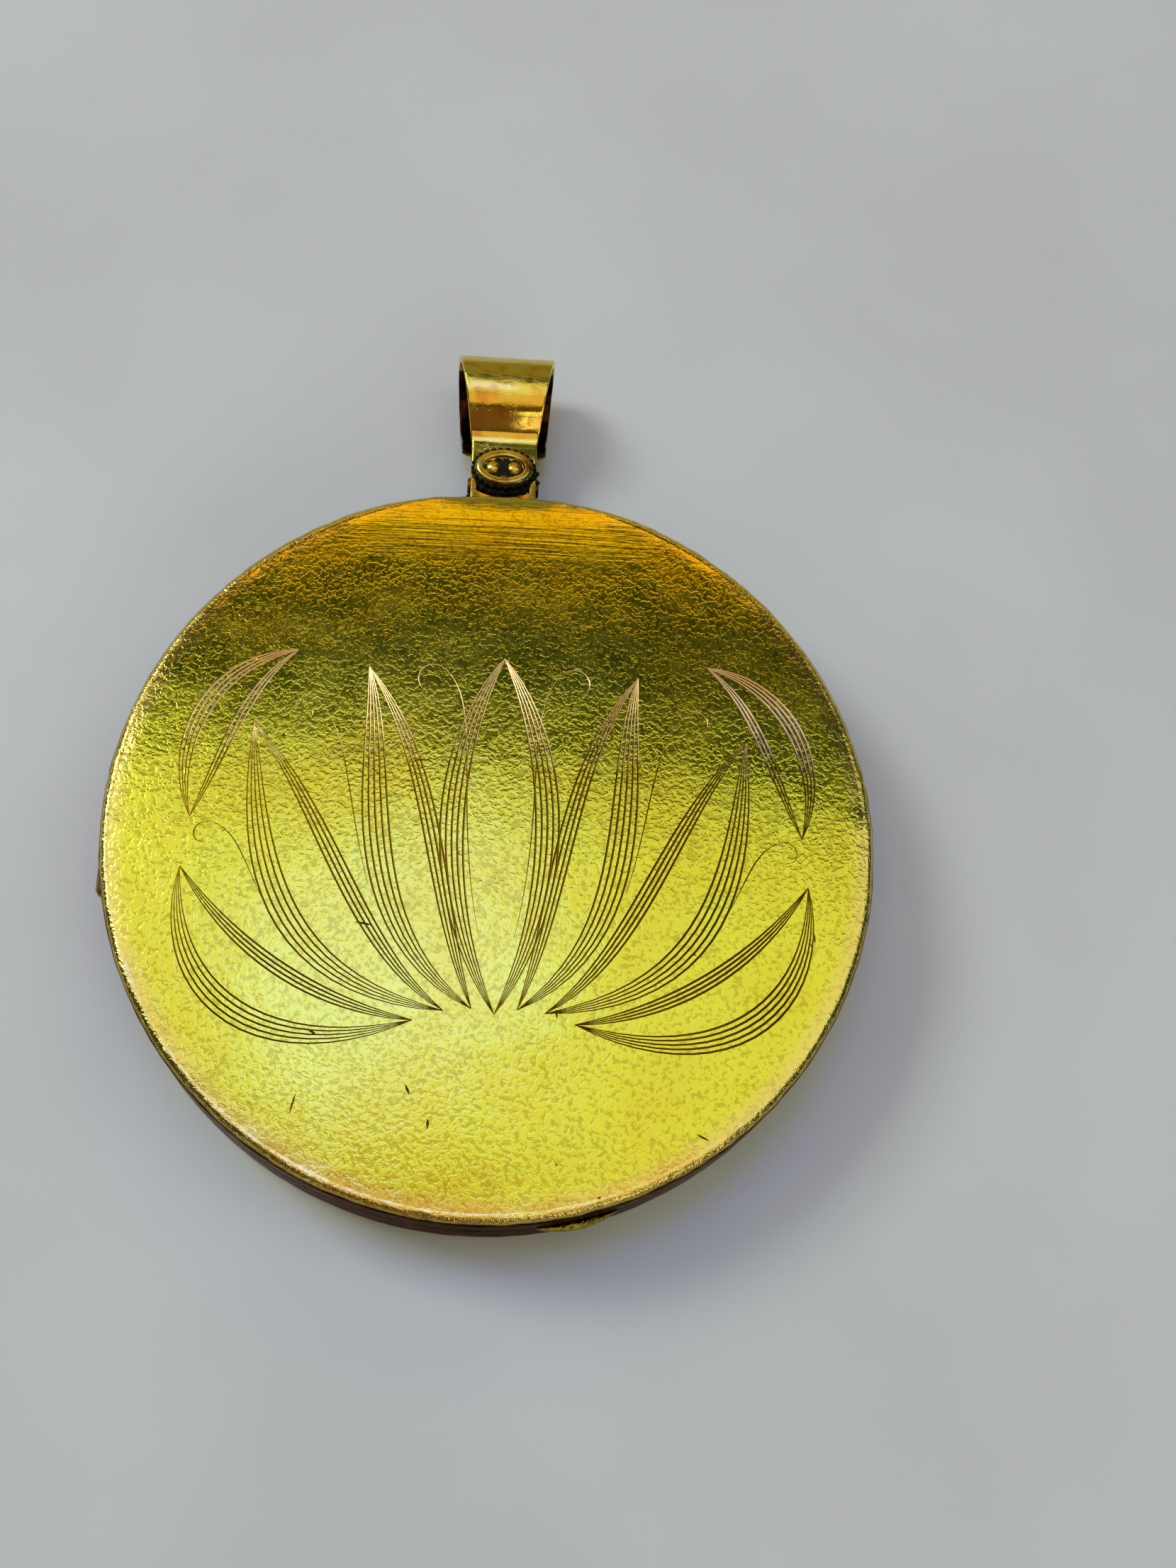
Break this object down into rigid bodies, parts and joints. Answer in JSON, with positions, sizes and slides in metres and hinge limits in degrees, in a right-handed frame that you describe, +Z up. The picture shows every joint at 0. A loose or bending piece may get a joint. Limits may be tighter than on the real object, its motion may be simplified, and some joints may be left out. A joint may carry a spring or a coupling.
{
  "type": "locket",
  "caption": "Round hinged locket with an engraved front cover, inner frames for photographs and a pivoting strap bail.",
  "frame": {"origin": "middle of the back cover's flat resting face, locket lying closed on its back", "axes": "+Z up through the front cover, +Y towards the bail, -X the hinge side"},
  "size_m": [0.0322, 0.0406, 0.006],
  "materials": {
    "rolled_gold": "rolled gold plate on brass, burnished, pebbled by wear",
    "bail_gold": "rolled gold plate on brass, polished",
    "gilt_brass": "gilt, satin",
    "gilt_bezel": "gilt, polished",
    "hinge_wire": "drawn wire, dull",
    "window": "thin clear disc, slightly yellowed",
    "photo_paper": "aged blank print card"
  },
  "bodies": {
    "back": {"back_cover": "rolled_gold", "back_frame": "gilt_brass", "back_photo": "photo_paper", "back_window": "window", "back_bezel": "gilt_bezel", "catch_nib": "gilt_brass", "back_knuckle_1": "gilt_brass", "back_knuckle_3": "gilt_brass", "back_knuckle_5": "gilt_brass", "hinge_pin": "hinge_wire", "thumb_lip": "rolled_gold", "bail_saddle": "bail_gold", "bail_pin": "hinge_wire"},
    "front": {"front_cover": "rolled_gold", "front_frame": "gilt_brass", "front_photo": "photo_paper", "front_window": "window", "front_bezel": "gilt_bezel", "front_knuckle_2": "gilt_brass", "front_knuckle_4": "gilt_brass"},
    "bail": {"bail_eye": "bail_gold", "bail_strap": "bail_gold", "bail_boss": "bail_gold", "bail_rivet_left": "bail_gold", "bail_rivet_right": "bail_gold"}
  },
  "joints": [
    {"name": "cover_hinge", "type": "hinge", "parent": "back", "child": "front", "pos_m": [-0.01578, 0, 0.0033], "axis": [0, -1, 0], "range_deg": [0, 120]},
    {"name": "bail_swing", "type": "hinge", "parent": "back", "child": "bail", "pos_m": [0, 0.01785, 0.00215], "axis": [1, 0, 0], "range_deg": [-30, 35]}
  ]
}
